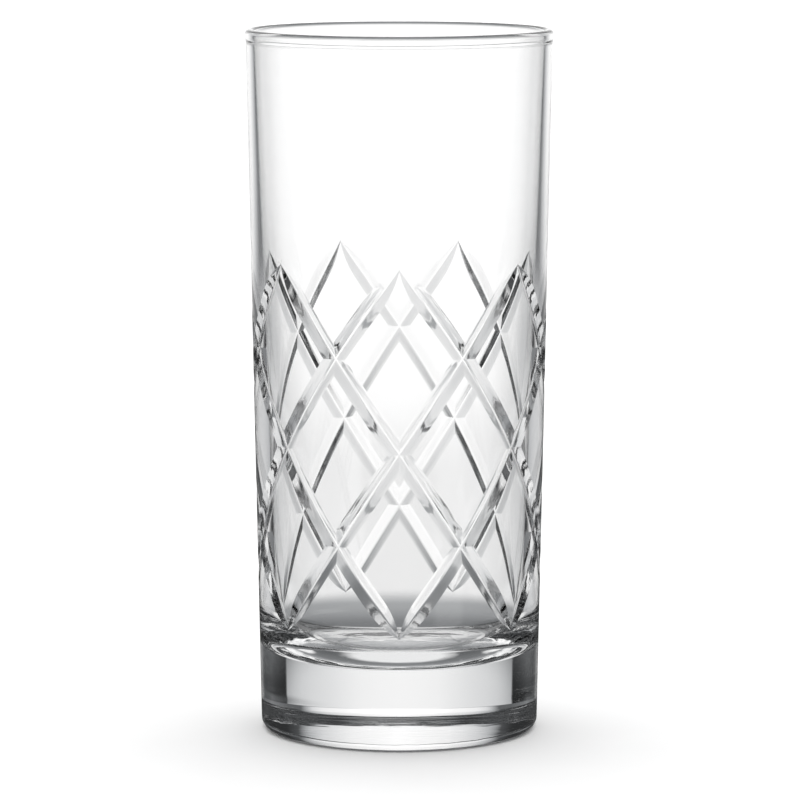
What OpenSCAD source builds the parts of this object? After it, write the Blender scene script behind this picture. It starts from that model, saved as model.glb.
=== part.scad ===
// Straight-sided tumbler glass with a heavy base and a criss-cross of V-shaped cuts.
// The glass stands on z = 0 with its axis on Z, and one cut point faces the front, -Y.
// It is formed in one piece, drawn here as the four bands that a glass worker names.

/* [Glass] */
// Height from the table to the top of the rim
glass_h = 156; // [120:0.5:200]
// Outside diameter that the straight side would have at the table
foot_d = 61.5; // [52:0.1:78]
// Outside diameter of the straight side at the top
mouth_d = 67.8; // [56:0.1:84]

/* [Rim] */
// Wall thickness at the mouth, under the rim bead
mouth_wall = 1.75; // [1.4:0.05:3]
// How far the fire-polished bead stands out from the wall, inside and outside
bead_proud = 0.15; // [0.05:0.05:0.5]

/* [Base] */
// Thickness of the solid base under the inside floor
base_t = 16.5; // [10:0.5:26]
// Wall thickness at the level of the inside floor
floor_wall = 4; // [2.4:0.1:6]
// Radius between the inside floor and the wall
floor_round = 11.5; // [4:0.1:14]
// Radius between the side and the foot
heel_round = 2.4; // [0.8:0.1:5]
// Width of the flat ring that stands on the table
foot_ring_w = 6.5; // [2:0.1:10]
// Depth of the shallow hollow inside the foot ring
punt_depth = 0.8; // [0.2:0.1:2]

/* [Cuts] */
// Number of cuts that lean each way
cut_count = 7; // [5:1:9]
// Plain height between the upper points of the cuts and the top of the rim
plain_h = 50.1; // [35:0.1:65]
// Height of the lower points of the cuts above the inside floor
cut_lift = 8.7; // [8:0.1:16]
// Width of a cut at the surface
cut_w = 4.1; // [2:0.1:5]
// Depth of the valley of a cut
cut_depth = 0.95; // [0.4:0.05:1.2]
// Length over which a cut rises out of the glass at each end
cut_runout = 10; // [5:0.5:14]
// How far the end of a cut runs past the point where it meets its neighbour
cut_past = 0.2; // [0.1:0.1:1]
// How far a cut swings up, then down, from an even slope round the glass
cut_swing = 0.4; // [0:0.05:1.5]

/* [Hidden] */

$fn = 96;

// Colour of the clear glass
glass_colour = [0.86, 0.9, 0.92, 0.45];

// Rows of diamonds that each cut crosses, and steps of the cutter along one row
cut_rows = 4;
row_steps = 7;

// Steps of the rounded parts of the outline
round_steps = 12;

// Glass left below the cut band, and above it, before the next band starts
band_margin = 1.2;

// Height of the cutter above the glass, and its run past the end of a cut
cutter_over = 0.6;
cutter_run = 0.8;

// Radius of the outside and of the inside at a height
side_slope = (mouth_d - foot_d) / 2 / glass_h;
function outer_r(z) = foot_d / 2 + side_slope * z;
floor_r = outer_r(base_t) - floor_wall;
inside_slope = (mouth_d / 2 - mouth_wall - floor_r) / (glass_h - base_t);
function inner_r(z) = floor_r + inside_slope * (z - base_t);

// Heights where one band meets the next
bead_r = mouth_wall / 2 + bead_proud;
bead_z = glass_h - bead_r;
rim_z = bead_z - bead_r;
cut_top = glass_h - plain_h;
cut_bottom = base_t + cut_lift;
base_top = cut_bottom - band_margin;
cut_band_top = cut_top + band_margin;

// Middle of the wall at the bead, and the angle where the wall runs into it
bead_mid = (outer_r(bead_z) + inner_r(bead_z)) / 2;
bead_start = -acos((outer_r(bead_z) - inner_r(bead_z)) / 2 / bead_r);

// Centre of the heel rounding, which touches the side and the table
heel_r = outer_r(heel_round) - heel_round * sqrt(1 + side_slope * side_slope);
foot_in = heel_r - foot_ring_w;
punt_r = (foot_in * foot_in + punt_depth * punt_depth) / 2 / punt_depth;

// Centre of the inside rounding, which touches the floor and the wall, and the angle where the
// heavy base hands it over to the cut wall
fillet_z = base_t + floor_round;
fillet_r = inner_r(fillet_z) - floor_round * sqrt(1 + inside_slope * inside_slope);
fillet_split = asin((base_top - fillet_z) / floor_round);

// Points of an arc about a centre, from one angle to another
function arc(centre, r, from, to) =
    [for (i = [0:round_steps])
        let (a = from + (to - from) * i / round_steps)
        centre + r * [cos(a), sin(a)]];

// One cut: where it runs, how deep it is, and the section of its cutter
row_angle = 180 / cut_count;
row_h = (cut_top - cut_bottom) / cut_rows;
cut_mid_r = outer_r((cut_top + cut_bottom) / 2);
row_len = norm([cut_mid_r * row_angle * PI / 180, row_h]);
cut_len = row_len * cut_rows;
run_lo = -cut_past - cutter_run;
run_hi = cut_len + cut_past + cutter_run;
cut_steps = cut_rows * row_steps;

// Depth at a distance from the nearer end, as a cutting wheel leaves the glass
function depth_at(end) =
    cut_depth * (1 - pow(1 - min(end, cut_runout) / cut_runout, 2));

// Places along a cut: even steps between its two points, with a step past each end
run_places = concat(
    [run_lo],
    [for (i = [0:cut_steps]) cut_len * i / cut_steps],
    [run_hi]);

// Section of the cutter at a place: its valley and its two upper corners
function cutter_ring(run, start, lean) =
    let (
        a = start + lean * row_angle * run / row_len,
        turn = 360 * run / cut_len,
        z = cut_top - row_h * run / row_len + cut_swing * sin(turn),
        fall = row_h - cut_swing * cos(turn) * 2 * PI / cut_rows,
        r = outer_r(z),
        out = [sin(a), -cos(a), 0],
        along = [lean * cos(a) * row_angle, lean * sin(a) * row_angle, 0] * r * PI / 180
            - [0, 0, fall],
        side = cross(along, out) / norm(along),
        depth = depth_at(cut_past + min(run, cut_len - run)),
        centre = r * out + [0, 0, z],
        half = (depth + cutter_over) * cut_w / 2 / cut_depth
    )
    [
        centre - depth * out,
        centre + cutter_over * out + half * side,
        centre + cutter_over * out - half * side
    ];

// The whole cutter of one cut; lean is 1 or -1
module cutter(start, lean) {
    last = len(run_places) - 1;
    points = [for (run = run_places) each cutter_ring(run, start, lean)];
    sides = [for (i = [0:last - 1], k = [0:2])
        let (a = 3 * i + k, b = 3 * i + (k + 1) % 3)
        each [[a, b, b + 3], [a, b + 3, a + 3]]];
    ends = [[2, 1, 0], [3 * last, 3 * last + 1, 3 * last + 2]];
    polyhedron(points = points, faces = concat(sides, ends), convexity = 4);
}

// Rounded bead that the mouth ends in
module rim_bead() {
    color(glass_colour)
    rotate_extrude()
    polygon(concat(
        [[inner_r(rim_z), rim_z], [outer_r(rim_z), rim_z]],
        arc([bead_mid, bead_z], bead_r, bead_start, 180 - bead_start)));
}

// Plain band between the cuts and the rim
module plain_wall() {
    color(glass_colour)
    rotate_extrude()
    polygon([
        [inner_r(cut_band_top), cut_band_top],
        [outer_r(cut_band_top), cut_band_top],
        [outer_r(rim_z), rim_z],
        [inner_r(rim_z), rim_z]]);
}

// Band of the side that carries the cuts
module cut_wall() {
    color(glass_colour)
    difference() {
        rotate_extrude()
        polygon(concat(
            [[outer_r(base_top), base_top],
            [outer_r(cut_band_top), cut_band_top],
            [inner_r(cut_band_top), cut_band_top]],
            arc([fillet_r, fillet_z], floor_round, -atan(inside_slope), fillet_split)));
        for (i = [0:cut_count - 1], lean = [-1, 1])
            cutter(2 * row_angle * i, lean);
    }
}

// Heavy base: foot ring, shallow hollow below, rounded inside floor above
module heavy_base() {
    color(glass_colour)
    rotate_extrude()
    polygon(concat(
        [for (i = [0:round_steps])
            let (a = asin(foot_in / punt_r) * i / round_steps)
            [punt_r * sin(a), punt_depth - punt_r * (1 - cos(a))]],
        arc([heel_r, heel_round], heel_round, -90, -atan(side_slope)),
        [[outer_r(base_top), base_top]],
        arc([fillet_r, fillet_z], floor_round, fillet_split, -90),
        [[0, base_t]]));
}

rim_bead();
plain_wall();
cut_wall();
heavy_base();
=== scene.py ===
import bpy, bmesh, math
from mathutils import Matrix, Vector


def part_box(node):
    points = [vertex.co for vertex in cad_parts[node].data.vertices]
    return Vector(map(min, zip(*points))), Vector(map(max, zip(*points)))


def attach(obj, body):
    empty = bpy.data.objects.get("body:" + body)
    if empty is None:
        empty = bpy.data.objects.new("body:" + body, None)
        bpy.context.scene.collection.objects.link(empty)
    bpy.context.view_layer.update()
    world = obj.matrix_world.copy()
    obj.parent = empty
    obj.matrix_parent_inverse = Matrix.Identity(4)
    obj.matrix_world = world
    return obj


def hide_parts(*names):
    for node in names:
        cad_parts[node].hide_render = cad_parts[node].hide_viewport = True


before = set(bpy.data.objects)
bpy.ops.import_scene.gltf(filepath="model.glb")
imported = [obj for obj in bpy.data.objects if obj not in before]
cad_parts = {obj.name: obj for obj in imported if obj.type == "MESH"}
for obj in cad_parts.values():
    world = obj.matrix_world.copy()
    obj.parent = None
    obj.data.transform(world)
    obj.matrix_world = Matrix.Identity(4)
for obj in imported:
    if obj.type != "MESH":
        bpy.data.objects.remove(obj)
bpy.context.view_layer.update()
mmPerMetre = 1000

# The glass in metres. Heights and outside radii come from the frame, walls and roundings are as
# in the part. The shape of the rim bead is given in bead radii
glass = {
    "mouthWall": 0.00175,
    "beadProud": 0.00014,
    "shoulderDrop": 1.8,
    "neckDrop": 2.9,
    "lipRound": 0.98,
    "neckRound": 0.5,
    "floorHeight": 0.0165,
    "floorWall": 0.0040,
    "floorRound": 0.0115,
    "heelRound": 0.0024,
    "footRing": 0.0065,
    "puntDepth": 0.0008,
    "puntSteps": 12,
    "heelSteps": 14,
    "floorSteps": 20,
    "lipSteps": 8,
    "neckSteps": 4,
    "wallStep": 0.004,
    "spinSteps": 384,
    "samePlace": 1e-7,
}

rimBox, bandBox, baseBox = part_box("rim_bead"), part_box("cut_wall"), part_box("heavy_base")
glassHeight = rimBox[1][2]
bandLow, bandHigh = baseBox[1], bandBox[1]
sideSlope = (bandHigh[0] - bandLow[0]) / (bandHigh[2] - bandLow[2])
footRadius = bandLow[0] - sideSlope * bandLow[2]
beadRadius = glass["mouthWall"] / 2 + glass["beadProud"]
print("glass height", round(glassHeight * mmPerMetre, 2), "mm, foot radius",
      round(footRadius * mmPerMetre, 3), "mm")


def outerRadius(z):
    return footRadius + sideSlope * z


def innerRadius(z):
    floor = glass["floorHeight"]
    bottom = outerRadius(floor) - glass["floorWall"]
    top = outerRadius(glassHeight) - glass["mouthWall"]
    return bottom + (top - bottom) * (z - floor) / (glassHeight - floor)


def meshObject(name, bm):
    mesh = bpy.data.meshes.new(name)
    bm.to_mesh(mesh)
    bm.free()
    piece = bpy.data.objects.new(name, mesh)
    bpy.context.collection.objects.link(piece)
    return piece


def roundCorner(bm, vert, radius, segments):
    bmesh.ops.bevel(bm, geom=[vert], offset=radius, offset_type="OFFSET", segments=segments,
                    profile=0.5, affect="VERTICES", material=-1)


# Half outline of the glass, from the middle of the hollow underneath to the middle of the floor
def glassOutline():
    g = glass
    footOuter = outerRadius(0.0)
    footInner = footOuter - g["heelRound"] - g["footRing"]
    shoulder = glassHeight - g["shoulderDrop"] * beadRadius
    neck = glassHeight - g["neckDrop"] * beadRadius
    out = outerRadius(shoulder) + g["beadProud"]
    inn = innerRadius(shoulder) - g["beadProud"]
    bm = bmesh.new()
    punt = []
    for i in range(g["puntSteps"]):
        share = i / g["puntSteps"]
        punt.append(bm.verts.new((footInner * share, 0, g["puntDepth"] * (1 - share ** 2))))
    footIn = bm.verts.new((footInner, 0, 0))
    heel = bm.verts.new((footOuter, 0, 0))
    neckOut = bm.verts.new((outerRadius(neck), 0, neck))
    shoulderOut = bm.verts.new((out, 0, shoulder))
    lipOut = bm.verts.new((out, 0, glassHeight))
    lipIn = bm.verts.new((inn, 0, glassHeight))
    shoulderIn = bm.verts.new((inn, 0, shoulder))
    neckIn = bm.verts.new((innerRadius(neck), 0, neck))
    corner = bm.verts.new((innerRadius(g["floorHeight"]), 0, g["floorHeight"]))
    middle = bm.verts.new((0, 0, g["floorHeight"]))
    rim = [neckOut, shoulderOut, lipOut, lipIn, shoulderIn, neckIn]
    chain = punt + [footIn, heel] + rim + [corner, middle]
    for a, b in zip(chain, chain[1:]):
        bm.edges.new((a, b))
    roundCorner(bm, heel, g["heelRound"], g["heelSteps"])
    roundCorner(bm, corner, g["floorRound"], g["floorSteps"])
    for vert in (lipOut, lipIn):
        roundCorner(bm, vert, beadRadius * g["lipRound"], g["lipSteps"])
    for vert in (neckOut, shoulderOut, shoulderIn, neckIn):
        roundCorner(bm, vert, beadRadius * g["neckRound"], g["neckSteps"])
    # Even rows up the outside, so that the cuts later meet short faces
    outside = [e for e in bm.edges if e.verts[0].co.x > footInner]
    wall = max(outside, key=lambda e: e.verts[0].co.x + e.calc_length())
    rows = round(wall.calc_length() / g["wallStep"])
    bmesh.ops.subdivide_edges(bm, edges=[wall], cuts=rows)
    return bm


def glassBody():
    bm = glassOutline()
    bmesh.ops.spin(bm, geom=bm.verts[:] + bm.edges[:], cent=(0, 0, 0), axis=(0, 0, 1),
                   dvec=(0, 0, 0), angle=2 * math.pi, steps=glass["spinSteps"], use_merge=True)
    bmesh.ops.remove_doubles(bm, verts=bm.verts[:], dist=glass["samePlace"])
    bmesh.ops.recalc_face_normals(bm, faces=bm.faces[:])
    return meshObject("tumbler_glass", bm)


# The cuts: seven lean each way, between the row of upper points and the row of lower points
cuts = {
    "count": 7,
    "rows": 4,
    "width": 0.0041,
    "depth": 0.00095,
    "runout": 0.010,  # length over which a cut rises out of the glass
    "past": 0.0002,  # how far it runs past the point where it meets its neighbour
    "swing": 0.0004,  # how far it swings up, then down, from an even slope
    "margin": 0.0012,  # between the points of the cuts and the ends of their band
    "over": 0.0004,  # height of the cutter above the glass
    "overSlack": 1e-6,
    "cutterRun": 0.0008,  # run of the cutter past the end of a cut
    "lipSlope": 0.34,  # slope of the lip, as a share of the slope of the cut's side
    "lipRound": 0.0009,
    "lipSteps": 3,
    "valleyRound": 0.0004,
    "valleySteps": 5,
    "steps": 140,
}
cutTop = bandHigh[2] - cuts["margin"]
cutBottom = bandLow[2] + cuts["margin"]
rowAngle = math.pi / cuts["count"]
rowHeight = (cutTop - cutBottom) / cuts["rows"]
rowLength = math.hypot(outerRadius((cutTop + cutBottom) / 2) * rowAngle, rowHeight)
cutLength = rowLength * cuts["rows"]


# A straight bar with the section of a cut: rounded valley, flat sides, rounded lips
def cutterBar():
    c = cuts
    reach = c["past"] + c["cutterRun"]
    half = c["width"] / 2
    wing = half + c["over"] / (c["depth"] / half * c["lipSlope"])
    bm = bmesh.new()
    places = ((-wing, c["over"]), (-half, 0), (0, -c["depth"]), (half, 0), (wing, c["over"]))
    section = [bm.verts.new((-reach, y, z)) for y, z in places]
    for a, b in zip(section, section[1:] + section[:1]):
        bm.edges.new((a, b))
    roundCorner(bm, section[2], c["valleyRound"], c["valleySteps"])
    roundCorner(bm, section[1], c["lipRound"], c["lipSteps"])
    roundCorner(bm, section[3], c["lipRound"], c["lipSteps"])
    face = bmesh.ops.contextual_create(bm, geom=bm.edges[:])["faces"][0]
    layer = bm.loops.layers.uv.new("alongCut")
    grown = bmesh.ops.extrude_face_region(bm, geom=[face])["geom"]
    bmesh.ops.translate(bm, vec=(cutLength + 2 * reach, 0, 0),
                        verts=[v for v in grown if isinstance(v, bmesh.types.BMVert)])
    longEdges = [e for e in bm.edges if abs(e.verts[0].co.x - e.verts[1].co.x) > reach]
    bmesh.ops.subdivide_edges(bm, edges=longEdges, cuts=c["steps"])
    for face in bm.faces:
        for loop in face.loops:
            loop[layer].uv = (loop.vert.co.x * mmPerMetre, loop.vert.co.y * mmPerMetre)
    return bm


# Bends the straight bar round the glass, and lifts it out of the glass towards both ends
def bendBar(bm, lean):
    c = cuts
    for vert in bm.verts:
        run, across, height = vert.co
        end = c["past"] + min(run, cutLength - run)
        share = 1 - (1 - min(end, c["runout"]) / c["runout"]) ** 2
        angle = lean * rowAngle * run / rowLength
        turn = 2 * math.pi * run / cutLength
        z = cutTop - rowHeight * run / rowLength + c["swing"] * math.sin(turn)
        fall = rowHeight - c["swing"] * math.cos(turn) * 2 * math.pi / c["rows"]
        radius = outerRadius(z)
        out = Vector((math.sin(angle), -math.cos(angle), 0))
        sweep = lean * rowAngle * radius
        along = Vector((sweep * math.cos(angle), sweep * math.sin(angle), -fall)).normalized()
        side = along.cross(out)
        if height < c["over"] - c["overSlack"]:
            height *= share
            across *= share
        vert.co = (radius + height) * out + Vector((0, 0, z)) + across * side


def cutterSet(name, lean):
    bm = cutterBar()
    bendBar(bm, lean)
    one = bm.verts[:] + bm.edges[:] + bm.faces[:]
    for i in range(1, cuts["count"]):
        copy = bmesh.ops.duplicate(bm, geom=one)["geom"]
        bmesh.ops.rotate(bm, cent=(0, 0, 0), matrix=Matrix.Rotation(2 * rowAngle * i, 3, "Z"),
                         verts=[v for v in copy if isinstance(v, bmesh.types.BMVert)])
    bmesh.ops.recalc_face_normals(bm, faces=bm.faces[:])
    return meshObject(name, bm)


# Materials
def linear(hexColour):
    channels = [int(hexColour[i:i + 2], 16) / 255 for i in (1, 3, 5)]
    return [c / 12.92 if c <= 0.04045 else ((c + 0.055) / 1.055) ** 2.4 for c in channels] + [1.0]


def addNode(tree, kind, links=None, values=None, **settings):
    node = tree.nodes.new("ShaderNode" + kind)
    for key, value in settings.items():
        setattr(node, key, value)
    for socket, value in (values or {}).items():
        node.inputs[socket].default_value = value
    for socket, source in (links or {}).items():
        tree.links.new(source, node.inputs[socket])
    return node


# A soft pattern: the coordinates divided by the real size of its features
def pattern(tree, place, size, detail=1.0):
    even = addNode(tree, "VectorMath", {0: place}, {1: size}, operation="DIVIDE").outputs[0]
    noise = addNode(tree, "TexNoise", {"Vector": even}, {"Scale": 1.0, "Detail": detail})
    return noise.outputs[0]


def glassMaterial(name, look):
    material = bpy.data.materials.new(name)
    material.use_nodes = True
    shader = material.node_tree.nodes["Principled BSDF"]
    shader.inputs["Base Color"].default_value = linear(look["tint"])
    shader.inputs["IOR"].default_value = look["ior"]
    shader.inputs["Transmission Weight"].default_value = 1.0
    return material, material.node_tree, shader


# Fire-polished soda-lime glass, pressed: clear and bright, with a faint ripple from the mould,
# an uneven heel and a scuffed foot ring. Sizes in metres, fades are heights above the table
fireLook = {
    "tint": "#fefefe",
    "ior": 1.52,
    "rippleSize": (0.009, 0.009, 0.03),
    "rippleHeight": 0.000012,
    "heelSize": (0.005, 0.005, 0.006),
    "heelHeight": 0.00009,
    "heelFade": (0.0045, 0.0015),
    "smudgeSize": (0.02, 0.02, 0.03),
    "smudgeDetail": 3.0,
    "smudgeFrom": (0.45, 0.7),
    "smudge": (0.0, 0.008),
    "scuffSize": (0.0004, 0.0025, 0.001),
    "scuffDetail": 2.0,
    "scuffFade": (0.0002, 0.00002),
    "scuff": 0.12,
}


def clearGlass():
    k = fireLook
    material, tree, shader = glassMaterial("fire_polished_clear_glass", k)
    place = addNode(tree, "TexCoord").outputs["Object"]
    height = addNode(tree, "SeparateXYZ", {0: place}).outputs[2]
    ripple = addNode(tree, "Bump", {"Height": pattern(tree, place, k["rippleSize"])},
                     {"Strength": 1.0, "Distance": k["rippleHeight"]})
    # The wave runs from -1 to 1, so that its fade up the side doesn't tilt the surface
    heelShare = addNode(tree, "MapRange", {0: height}, {1: k["heelFade"][0], 2: k["heelFade"][1]})
    wave = addNode(tree, "MapRange", {0: pattern(tree, place, k["heelSize"])}, {3: -1.0})
    heelWave = addNode(tree, "Math", {0: wave.outputs[0], 1: heelShare.outputs[0]},
                       operation="MULTIPLY")
    heel = addNode(tree, "Bump", {"Height": heelWave.outputs[0], "Normal": ripple.outputs[0]},
                   {"Strength": 1.0, "Distance": k["heelHeight"]})
    smudge = addNode(tree, "MapRange",
                     {0: pattern(tree, place, k["smudgeSize"], k["smudgeDetail"])},
                     {1: k["smudgeFrom"][0], 2: k["smudgeFrom"][1],
                      3: k["smudge"][0], 4: k["smudge"][1]})
    footShare = addNode(tree, "MapRange", {0: height},
                        {1: k["scuffFade"][0], 2: k["scuffFade"][1], 4: k["scuff"]})
    scuff = pattern(tree, place, k["scuffSize"], k["scuffDetail"])
    rough = addNode(tree, "Math", {0: scuff, 1: footShare.outputs[0], 2: smudge.outputs[0]},
                    operation="MULTIPLY_ADD")
    tree.links.new(rough.outputs[0], shader.inputs["Roughness"])
    tree.links.new(heel.outputs[0], shader.inputs["Normal"])
    return material


# Wheel-cut glass after polishing: fine streaks along each cut break up what shows through it.
# The pattern reads the cutter's own map, in mm: first along the cut, then across it
cutLook = {
    "tint": "#fefefe",
    "ior": 1.52,
    "streakSize": (9.0, 0.5, 1.0),
    "streakDetail": 2.0,
    "streakHeight": 0.000014,
    "hairSize": (5.0, 0.16, 1.0),
    "hairHeight": 0.000003,
    "roughFrom": (0.35, 0.65),
    "rough": (0.03, 0.1),
}


def cutGlass():
    k = cutLook
    material, tree, shader = glassMaterial("polished_wheel_cut_glass", k)
    place = addNode(tree, "UVMap", uv_map="alongCut").outputs[0]
    streak = pattern(tree, place, k["streakSize"], k["streakDetail"])
    broad = addNode(tree, "Bump", {"Height": streak},
                    {"Strength": 1.0, "Distance": k["streakHeight"]})
    hair = pattern(tree, place, k["hairSize"])
    fine = addNode(tree, "Bump", {"Height": hair, "Normal": broad.outputs[0]},
                   {"Strength": 1.0, "Distance": k["hairHeight"]})
    rough = addNode(tree, "MapRange", {0: streak}, {1: k["roughFrom"][0], 2: k["roughFrom"][1],
                                                    3: k["rough"][0], 4: k["rough"][1]})
    tree.links.new(rough.outputs[0], shader.inputs["Roughness"])
    tree.links.new(fine.outputs[0], shader.inputs["Normal"])
    return material


def takeResult(body):
    bpy.context.view_layer.update()
    depsgraph = bpy.context.evaluated_depsgraph_get()
    result = bpy.data.meshes.new_from_object(body.evaluated_get(depsgraph))
    old = body.data
    body.modifiers.clear()
    body.data = result
    bpy.data.meshes.remove(old)
    return result


# How the shading runs: sharp where two cuts cross, and true to the cone on the plain outside,
# from a little above the heel, in heel radii, to a little below the rim, in bead radii
shading = {
    "sharpAngle": 12,
    "keepWeight": 50,  # weight of the large faces in the even shading
    "aboveHeel": 1.7,
    "belowRim": 5,
    "onCone": 0.000003,
    "sameWay": 0.95,
}


def followCone(mesh):
    low = shading["aboveHeel"] * glass["heelRound"]
    high = glassHeight - shading["belowRim"] * beadRadius
    tilt = math.atan(sideSlope)
    normals = [n.vector.copy() for n in mesh.corner_normals]
    for face in mesh.polygons:
        for i in face.loop_indices:
            x, y, z = mesh.vertices[mesh.loops[i].vertex_index].co
            if low < z < high and abs(math.hypot(x, y) - outerRadius(z)) < shading["onCone"]:
                level = Vector((x, y, 0)).normalized()
                out = level * math.cos(tilt) - Vector((0, 0, math.sin(tilt)))
                if face.normal.dot(out) > shading["sameWay"]:
                    normals[i] = out
    mesh.normals_split_custom_set(normals)


body = glassBody()
print("glass body", len(body.data.vertices), "points")
fire, cut = clearGlass(), cutGlass()
body.data.materials.append(fire)
body.data.materials.append(cut)
cutterObjects = []
for name, lean in (("left_cuts", -1), ("right_cuts", 1)):
    cutter = cutterSet(name, lean)
    cutter.data.materials.append(fire)
    cutter.data.materials.append(cut)
    for face in cutter.data.polygons:
        face.material_index = 1
    step = body.modifiers.new(name, "BOOLEAN")
    step.operation = "DIFFERENCE"
    step.solver = "MANIFOLD"
    step.object = cutter
    cutterObjects.append(cutter)
carved = takeResult(body)
for cutter in cutterObjects:
    bpy.data.objects.remove(cutter)
carved.shade_smooth()
carved.set_sharp_from_angle(angle=math.radians(shading["sharpAngle"]))
even = body.modifiers.new("even_shading", "WEIGHTED_NORMAL")
even.keep_sharp = True
even.weight = shading["keepWeight"]
followCone(takeResult(body))
print("cuts made,", len(body.data.polygons), "faces")

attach(body, "root")
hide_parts("rim_bead", "plain_wall", "cut_wall", "heavy_base")

# Camera at the photograph's viewing angle
cameraSet = {
    "distance": 1.0462,
    "height": 0.2100,
    "pitch": 7.4296,
    "sensor": 36.0,
    "lens": 213.5115,
    "shift": 0.00093,
}
cameraData = bpy.data.cameras.new("camera")
cameraData.sensor_width = cameraSet["sensor"]
cameraData.lens = cameraSet["lens"]
cameraData.shift_x = cameraSet["shift"]
camera = bpy.data.objects.new("camera", cameraData)
bpy.context.collection.objects.link(camera)
camera.location = (0, -cameraSet["distance"], cameraSet["height"])
camera.rotation_euler = (math.radians(90 - cameraSet["pitch"]), 0, 0)
bpy.context.scene.camera = camera

# Plain pale floor: matt white board, even to the eye, with a faint mottle and a fine grain
floorLook = {
    "reach": 5,
    "gap": 0.00002,
    "pale": "#f5f5f5",
    "dull": "#f1f1f1",
    "mottleSize": (0.03, 0.03, 0.03),
    "mottleDetail": 2.0,
    "grainSize": (0.0006, 0.0006, 0.0006),
    "grainHeight": 0.00001,
    "grainStrength": 0.5,
}


def studioFloor():
    k = floorLook
    bm = bmesh.new()
    bmesh.ops.create_grid(bm, x_segments=1, y_segments=1, size=k["reach"])
    bmesh.ops.translate(bm, vec=(0, 0, -k["gap"]), verts=bm.verts[:])
    floor = meshObject("floor", bm)
    material = bpy.data.materials.new("matt_white_board")
    material.use_nodes = True
    tree = material.node_tree
    shader = tree.nodes["Principled BSDF"]
    shader.inputs["Roughness"].default_value = 1.0
    shader.inputs["Specular IOR Level"].default_value = 0.0
    place = addNode(tree, "TexCoord").outputs["Object"]
    mottle = pattern(tree, place, k["mottleSize"], k["mottleDetail"])
    shade = addNode(tree, "Mix", {0: mottle}, {6: linear(k["pale"]), 7: linear(k["dull"])},
                    data_type="RGBA")
    grain = addNode(tree, "Bump", {"Height": pattern(tree, place, k["grainSize"])},
                    {"Strength": k["grainStrength"], "Distance": k["grainHeight"]})
    tree.links.new(shade.outputs[2], shader.inputs["Base Color"])
    tree.links.new(grain.outputs[0], shader.inputs["Normal"])
    floor.data.materials.append(material)
    floor.visible_transmission = False
    floor.visible_glossy = False
    return floor


studioFloor()
print("floor and camera set")

# Studio: light by direction, as (degrees, level). Azimuth is counted from +Y, behind the glass,
# the same on both sides. Bands take over between two elevations, from "upper" down and up
studio = {
    "upper": [(0, 1.25), (8, 1.22), (12, 1.15), (16, 1.05), (20, 0.99), (24, 0.92), (28, 0.76),
              (31, 0.45), (34, 0.13), (42, 0.13), (50, 0.2), (58, 0.27), (68, 0.18), (73, 0.2),
              (78, 0.42), (85, 0.66), (98, 0.62), (115, 0.45), (135, 0.2), (155, 0.04),
              (180, 0.02)],
    "middle": [(0, 1.2), (7, 1.1), (9.6, 0.98), (11.2, 0.88), (13.8, 0.72), (17.5, 0.61),
               (24.5, 0.4), (31, 0.15), (42, 0.08), (58, 0.15), (68, 0.1), (76, 0.12),
               (84, 0.28), (98, 0.25), (115, 0.2), (135, 0.1), (160, 0.02)],
    "lower": [(0, 0.99), (5, 0.98), (11, 0.95), (17, 0.87), (20.5, 0.82), (24.4, 0.78),
              (29, 0.74), (34, 0.68), (38, 0.6), (43, 0.48), (43.8, 0.02), (76, 0.02),
              (84, 0.03), (92, 0.06), (115, 0.08), (135, 0.06), (180, 0.05)],
    "steep": [(0, 0.45), (20, 0.36), (35, 0.2), (60, 0.08), (180, 0.06)],
    "down": [(0, 0.25), (60, 0.14), (180, 0.06)],
    "above": [(0, 1.1), (14, 0.95), (24, 0.72), (30, 0.5), (33, 0.3), (36, 0.08), (44, 0.03),
              (80, 0.02), (95, 0.1), (120, 0.05), (180, 0.02)],
    "high": [(0, 0.1), (180, 0.1)],
    "under": [(0, 0.9), (180, 0.9)],
    "bands": [("middle", -6.3, -9.2), ("lower", -8.3, -9.4), ("steep", -15, -25),
              ("down", -25, -42), ("above", 4, 9), ("high", 36, 52), ("under", -55, -68)],
    # Round soft lights low down, as (azimuth, elevation), for the views from the corners
    "soft": [(-45, -27), (45, -27), (135, -15)],
    "softEdge": (16, 9),
    "softLevel": 1.0,
    # What shows straight through the glass when it is looked at from the side or the back
    "around": [(72, 0.9), (90, 1.0), (103, 0.8), (112, 0.55), (122, 0.8), (135, 1.0),
               (147, 0.8), (157, 0.55), (167, 0.8), (180, 1.0)],
    "aroundStart": (72, 88),
    "aroundTop": (35, 20),
    "aroundFoot": (-50, -38),
    # A dark card below, which keeps pale reflections off the outside
    "cardEdge": (-5, -8),
    "cardLevel": 0.03,
    "backdrop": 1.05,
    "fill": 0.7,
    "cool": 0.04,  # how much bluer than the white the dark is
}


# Light level round the glass; darker levels are a little cooler
def levelRound(tree, stops, azimuthShare):
    node = addNode(tree, "ValToRGB", {0: azimuthShare})
    elements = node.color_ramp.elements
    while len(elements) > 1:
        elements.remove(elements[-1])
    for i, (angle, level) in enumerate(stops):
        item = elements[0] if i == 0 else elements.new(angle / 180)
        item.position = angle / 180
        cool = studio["cool"] * (1 - min(level, 1))
        item.color = (level * (1 - cool), level, level * (1 + cool), 1)
    return node.outputs[0]


# Lays a second light over the first. Its share grows softly from one angle to the next
def overlay(tree, light, second, limits, share=None):
    for angle, start, end in limits:
        soft = addNode(tree, "MapRange", {0: angle},
                       {1: math.radians(start), 2: math.radians(end)},
                       interpolation_type="SMOOTHSTEP").outputs[0]
        if share is not None:
            soft = addNode(tree, "Math", {0: share, 1: soft}, operation="MULTIPLY").outputs[0]
        share = soft
    mix = addNode(tree, "Mix", {0: share, 6: light}, data_type="RGBA")
    if isinstance(second, float):
        mix.inputs[7].default_value = (second, second, second, 1)
    else:
        tree.links.new(second, mix.inputs[7])
    return mix.outputs[2]


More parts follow.
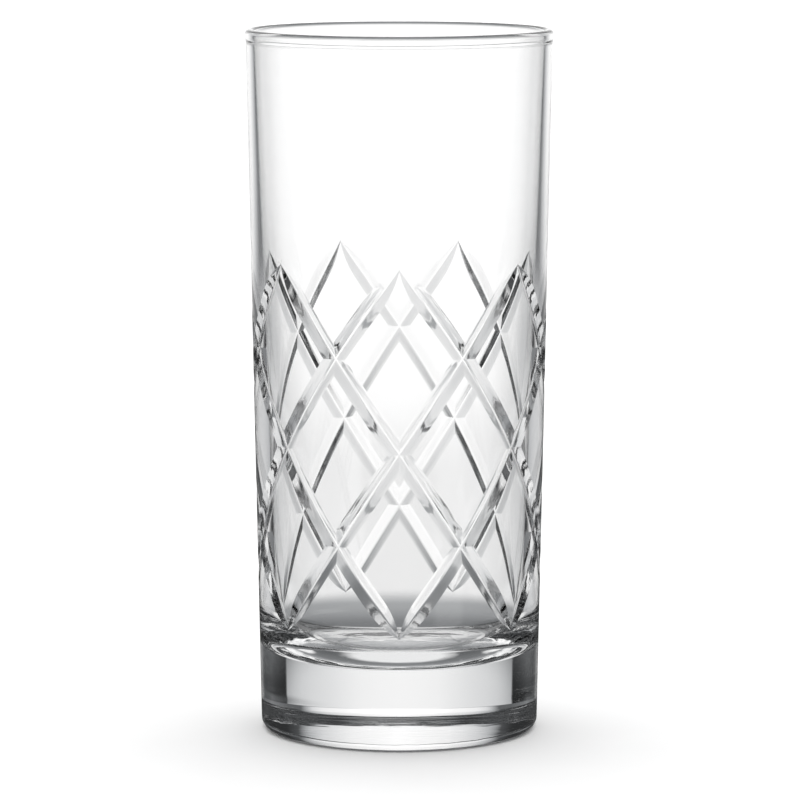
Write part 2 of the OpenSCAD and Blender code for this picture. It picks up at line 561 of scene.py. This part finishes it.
def studioWorld():
    s = studio
    world = bpy.data.worlds.new("studio")
    bpy.context.scene.world = world
    world.use_nodes = True
    tree = world.node_tree
    coord = addNode(tree, "TexCoord").outputs["Generated"]
    x, y, z = addNode(tree, "SeparateXYZ", {0: coord}).outputs
    azimuth = addNode(tree, "Math", {0: x, 1: y}, operation="ARCTAN2").outputs[0]
    turn = addNode(tree, "Math", {0: azimuth}, operation="ABSOLUTE").outputs[0]
    share = addNode(tree, "Math", {0: turn}, {1: math.pi}, operation="DIVIDE").outputs[0]
    rise = addNode(tree, "Math", {0: z}, operation="ARCSINE").outputs[0]
    light = levelRound(tree, s["upper"], share)
    for name, start, end in s["bands"]:
        light = overlay(tree, light, levelRound(tree, s[name], share), [(rise, start, end)])
    for side, height in s["soft"]:
        a, e = math.radians(side), math.radians(height)
        aim = (math.sin(a) * math.cos(e), math.cos(a) * math.cos(e), math.sin(e))
        dot = addNode(tree, "VectorMath", {0: coord}, {1: aim}, operation="DOT_PRODUCT")
        off = addNode(tree, "Math", {0: dot.outputs["Value"]}, operation="ARCCOSINE").outputs[0]
        light = overlay(tree, light, s["softLevel"], [(off, *s["softEdge"])])
    path = addNode(tree, "LightPath").outputs
    # The depth is 0 for light that no surface has mirrored on its way
    straight = addNode(tree, "Math", {0: path["Glossy Depth"]}, {1: 0.5},
                       operation="LESS_THAN").outputs[0]
    sides = [(turn, *s["aroundStart"]), (rise, *s["aroundTop"]), (rise, *s["aroundFoot"])]
    light = overlay(tree, light, levelRound(tree, s["around"], share), sides, straight)
    light = overlay(tree, light, s["cardLevel"], [(rise, *s["cardEdge"])],
                    path["Is Reflection Ray"])
    light = overlay(tree, light, s["fill"], [], path["Is Diffuse Ray"])
    light = overlay(tree, light, s["backdrop"], [], path["Is Camera Ray"])
    tree.links.new(light, tree.nodes["Background"].inputs[0])


# One wide soft lamp above and behind, for the floor and the glass's soft shadow on it
overhead = {"size": 12, "power": 540, "place": (0, 3.5, 6)}


def overheadLight():
    data = bpy.data.lights.new("overhead", "AREA")
    data.shape = "DISK"
    data.size = overhead["size"]
    data.energy = overhead["power"]
    lamp = bpy.data.objects.new("overhead", data)
    bpy.context.collection.objects.link(lamp)
    lamp.location = overhead["place"]
    lamp.visible_camera = lamp.visible_glossy = lamp.visible_transmission = False


studioWorld()
overheadLight()
# Clear glass needs many bounces, or its deep parts turn black
bounces = {"all": 32, "transmission": 32, "glossy": 16, "diffuse": 3}
scene = bpy.context.scene
scene.view_settings.view_transform = "Standard"
scene.cycles.max_bounces = bounces["all"]
scene.cycles.transmission_bounces = bounces["transmission"]
scene.cycles.glossy_bounces = bounces["glossy"]
scene.cycles.diffuse_bounces = bounces["diffuse"]
print("studio lit")
